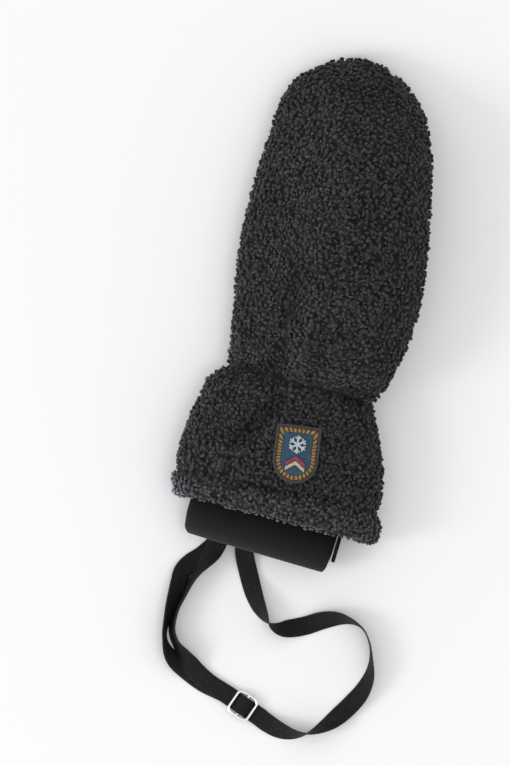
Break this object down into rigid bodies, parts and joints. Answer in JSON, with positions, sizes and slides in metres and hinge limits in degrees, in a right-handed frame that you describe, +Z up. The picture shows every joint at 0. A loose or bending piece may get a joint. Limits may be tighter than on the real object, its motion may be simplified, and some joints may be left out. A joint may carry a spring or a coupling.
{
  "type": "fleece mitten",
  "caption": "Left-hand winter mitten of curly fleece with suede palm, tucked thumb, flared gauntlet, knitted inner cuff and webbing wrist strap with a slide buckle, lying palm down.",
  "frame": {"origin": "on the surface that the mitten lies on, under the middle of the gauntlet", "axes": "+Y to the fingertips, +X to the thumb side, +Z up through the back of the hand"},
  "size_m": [0.1536, 0.4379, 0.0595],
  "materials": {
    "fleece": "curly pile, charcoal",
    "suede": "matt nap, charcoal",
    "knit": "fine rib knit",
    "webbing": "flat woven, black",
    "steel": "polished",
    "border_thread": "overlocked thread",
    "ochre_thread": "satin stitch",
    "blue_thread": "filled stitch",
    "white_thread": "satin stitch",
    "red_thread": "satin stitch",
    "cream_thread": "satin stitch"
  },
  "bodies": {
    "root": {"hand_back": "fleece", "palm_panel": "suede", "thumb_fleece": "fleece", "thumb_strip": "suede", "gauntlet": "fleece", "rib_cuff": "knit", "badge_base": "border_thread", "badge_edge": "border_thread", "badge_band": "ochre_thread", "badge_field": "blue_thread", "badge_flake": "white_thread", "badge_chevron_red": "red_thread", "badge_chevron_cream": "cream_thread", "strap": "webbing", "buckle": "steel", "strap_loop": "webbing", "side_tab": "webbing"}
  },
  "joints": []
}
